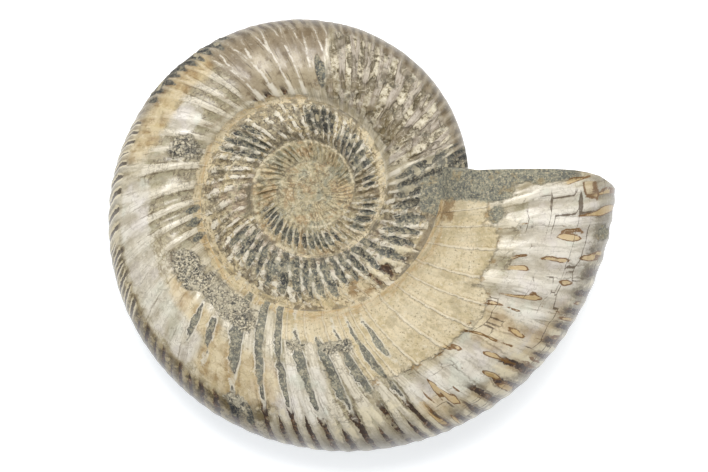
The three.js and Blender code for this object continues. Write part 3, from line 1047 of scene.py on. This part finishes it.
smothered = surface.mark("smothered")
over_ribs = inner * 0.14 + 0.30 + smothered * 0.3
mud_mask = patch_mask("mud", 0.90, 0.16, middling, over_ribs - rib * 1.0)
thinner = rib * -1.50 + (long_marks - 0.5) * 1.6
wedge_mask = patch_mask("wedges", 0.50, 0.14, middling, thinner)
mud_mask = mud_mask.larger(wedge_mask)
halo = patch_mask("wedges", 0.50, 0.14, middling, thinner + 0.35) * (1 - inner)
colour = coat(colour, halo * long_marks.step(0.40, 0.52) * 0.7, "ddd7c6")
paler = wedge_mask * (1 - inner) * 0.20
mud = two_tones(middling.step(0.38, 0.60), "2c3238", "646862")
mud = coat(mud, crest * long_marks.step(0.42, 0.54) * 0.8, "bab5a0")
mud = coat(mud, fine.step(0.50, 0.60) * 0.85, "a29a82")
mud = coat(mud, dust.step(0.55, 0.62) * 0.7, "beb396")
mud = coat(mud, fine.fade(0.36, 0.44) * 0.8, "24282c")
mud = coat(mud, smothered * dashes.fade(0.54, 0.62) * 0.7, "2b2f32")
mud = coat(mud, smothered * furrow * 0.8, "212528")
mud = coat(mud, smothered * edging.step(0.56, 0.62) * 0.8, "c6bb9d")
mud = coat(mud, paler, "a09c84")
mud = coat(mud, vein * 0.35, "c4b999")
colour = surface.blend(mud_mask * 0.9, colour, mud)
wedge_line = wedge_mask * (1 - wedge_mask) * 3.0 * long_marks.step(0.42, 0.52)
colour = coat(colour, wedge_line, "3e3c36")
colour = coat(colour, inner * (1 - worn) * dash * dashes.step(0.54, 0.60) * 0.8, "ddd5c0")

mud_edge = mud_mask * (1 - mud_mask) * 3.2
colour = coat(colour, inner * mud_edge * dashes.step(0.44, 0.50), "e2dac6")
beside_rings = across_wire.step(0.90, 0.95) + across_wire.fade(0.04, 0.10)
beside_rings = beside_rings * inner * middling.fade(0.47, 0.53)
colour = coat(colour, beside_rings * 0.55, "746c5b")

crust = patch_mask("crust", 0.75, 0.12)
grains = two_tones(fine.step(0.40, 0.60), "77736a", "b3a88f")
grains = coat(grains, dust.step(0.52, 0.60) * 0.8, "e2d8bd")
grains = coat(grains, dust.fade(0.39, 0.46) * 0.9, "30302d")
grains = coat(grains, middling.fade(0.38, 0.50) * 0.5, "53524c")
grains = coat(grains, broad.step(0.50, 0.60) * 0.45, "cdc3a9")
grains = coat(grains, vein * 0.8, "2e3133")
colour = surface.blend(crust, colour, grains)

bullets = patch_mask("bullets", 0.1, 0.2)
colour = coat(colour, bullets * rib.step(0.66, 0.92) * 0.8, "e4dcca")

stone = surface.mark("stone").larger(patch_mask("matrix", 0.60, 0.14))
rock = two_tones(fine.step(0.38, 0.62), "75766c", "a09c86")
rock = coat(rock, middling.fade(0.38, 0.48) * 0.5, "5a5d5a")
rock = coat(rock, dust.step(0.54, 0.62) * 0.8, "beb090")
rock = coat(rock, dust.fade(0.38, 0.45) * 0.7, "4a4c4b")
rock = coat(rock, middling.step(0.56, 0.66) * 0.6, "a8946c")
colour = surface.blend(stone, colour, rock)
tell("sand, sediment and stone")

# %% [markdown]
# Near the lip the shell has cracked into blocks, and rust has followed the cracks. Cells measured
# along each axis by itself come out square, where plain ones would be round.

# %% Square cracks near the lip, edged with rust
crossing = surface.along_ribs(phase, across_wire, 0.6, 9.0, kind="cracks")
crack = (crossing + (fine - 0.5) * 0.07).step(0.030, 0.008) * broad.step(0.47, 0.55)
blobs = surface.along_ribs(phase, across_wire, 3.4, 4.6, 1.0) + (fine - 0.5) * 0.12
rust_ring = blobs.band(0.61, 0.63, 0.66, 0.68)
rust_ring = rust_ring * middling.step(0.36, 0.46)
cracked = patch_mask("cracked", 0.4, 0.2, broad)
colour = coat(colour, blobs.step(0.66, 0.68) * cracked * 0.7, "c6a76c")
colour = coat(colour, rust_ring * cracked * 0.95, "74501f")
colour = coat(colour, crack * cracked * 0.85, "4f3d26")
hook = surface.mark("hook") + (fine - 0.5) * 1.2 + inner * 20 + surface.mark("stone") * 20
colour = coat(colour, hook.fade(0.1, 0.4) * 0.6, "c9b287")
colour = coat(colour, hook.maths("ABSOLUTE").fade(0.15, 0.50) * 0.85, "6b4a26")
tell("cracks")

# %% [markdown]
# The gloss comes last. Sand, sediment and crust are matte and grainy under the light, and a clear
# coat over all the rest stands for the polish.

# %% Gloss and fine relief, and the finished material
speckle = (dust - 0.5) * 0.5 + (fine - 0.5) * 0.5
colour = coat(colour, speckle.step(0.04, 0.16) * 0.24, "efe9da")
colour = coat(colour, (speckle * -1.0).step(0.04, 0.16) * 0.36, "5a4c36")
matte = infill.larger(mud_mask).larger(crust).larger(stone).larger(etched * 0.6)
matte = matte.larger(inner * 0.6).larger(worn * 0.9).larger(surface.mark("wedges") * 0.5)
roughness = 0.34 + matte * 0.46 + (middling - 0.5) * 0.16
bumps = fine * (0.25 + matte * 0.8) + dust * (matte * 0.6)
bumps = bumps + pit * etched * -0.9 + rib_line * infill * 0.6
bump_values = {"Strength": 0.8, "Distance": 0.0007, "Height": bumps}
bumped = surface.node("ShaderNodeBump", {}, bump_values)[0]
finish = surface.node("ShaderNodeBsdfPrincipled", {}, {
    "Base Color": colour,
    "Roughness": roughness,
    "Coat Weight": (1 - matte.larger(calcite * 0.5)) * 0.3,
    "Coat Roughness": 0.15,
    "Normal": bumped,
})[0]
surface.node("ShaderNodeOutputMaterial", {}, {"Surface": finish})
shell_mesh.materials.append(surface.material)
print("the surface is a recipe of", len(surface.tree.nodes), "nodes")

# %% Joining the frame
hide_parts("ammonite")
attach(shell, "root")

# %% [markdown]
# ## The studio
# A white table, a large soft light above and behind the top edge of the picture, and weaker fills.
# The camera looks straight down.

# %% Table, lights and camera
TABLE = 3.0
table_bm = bmesh.new()
bmesh.ops.create_grid(table_bm, x_segments=1, y_segments=1, size=TABLE)
table_mesh = bpy.data.meshes.new("table")
table_bm.to_mesh(table_mesh)
table_bm.free()
table = into_scene("table", table_mesh)
paper = Recipe("white_paper")
paper_finish = paper.node("ShaderNodeBsdfPrincipled", {}, {
    "Base Color": (0.80, 0.80, 0.80, 1.0),
    "Roughness": 0.9,
    "Emission Color": (0.92, 0.96, 1.0, 1.0),
    "Emission Strength": 0.56,
})[0]
paper.node("ShaderNodeOutputMaterial", {}, {"Surface": paper_finish})
table_mesh.materials.append(paper.material)


def soft_light(name, place, target, size, power, tint):
    lamp = bpy.data.lights.new(name, "AREA")
    lamp.shape = "RECTANGLE"
    lamp.size, lamp.size_y = size
    lamp.energy = power
    lamp.color = tint
    holder = into_scene(name, lamp)
    holder.location = place
    holder.rotation_euler = (Vector(target) - Vector(place)).to_track_quat("-Z", "Y").to_euler()
    print(name, "of", power, "watts")


soft_light("key", (0.0, 0.44, 0.94), (0, 0, 0), (0.5, 0.4), 8.2, (1.0, 0.99, 0.97))
soft_light("left fill", (-0.60, 0.15, 0.80), (0, 0, 0), (0.5, 0.5), 1.5, (0.96, 0.98, 1.0))
soft_light("right fill", (0.65, 0.0, 0.7), (0, 0, 0), (0.5, 0.5), 1.2, (1.0, 0.99, 0.97))

world = bpy.data.worlds.new("studio")
world.use_nodes = True
world.node_tree.nodes["Background"].inputs["Color"].default_value = (0.95, 0.97, 1.0, 1.0)
world.node_tree.nodes["Background"].inputs["Strength"].default_value = 0.31
bpy.context.scene.world = world

PHOTO_WIDTH, PHOTO_HEIGHT = 708, 472
NUCLEUS_PIXEL = (314, 190)
MM_PER_PIXEL = 0.3213
FOCAL, SENSOR = 100, 36
MIDDLE_HEIGHT = 20
aim_x = COIL_CENTRE.x + (PHOTO_WIDTH / 2 - NUCLEUS_PIXEL[0]) * MM_PER_PIXEL
aim_y = COIL_CENTRE.y - (PHOTO_HEIGHT / 2 - NUCLEUS_PIXEL[1]) * MM_PER_PIXEL
camera_data = bpy.data.cameras.new("camera")
camera_data.lens = FOCAL
camera_data.sensor_width = SENSOR
away = PHOTO_WIDTH * MM_PER_PIXEL * FOCAL / SENSOR
camera = into_scene("camera", camera_data)
camera.location = (aim_x / 1000, aim_y / 1000, (away + MIDDLE_HEIGHT) / 1000)
bpy.context.scene.camera = camera
bpy.context.scene.view_settings.view_transform = "Standard"
print("the camera hangs", round(away), "mm above the coil's middle")
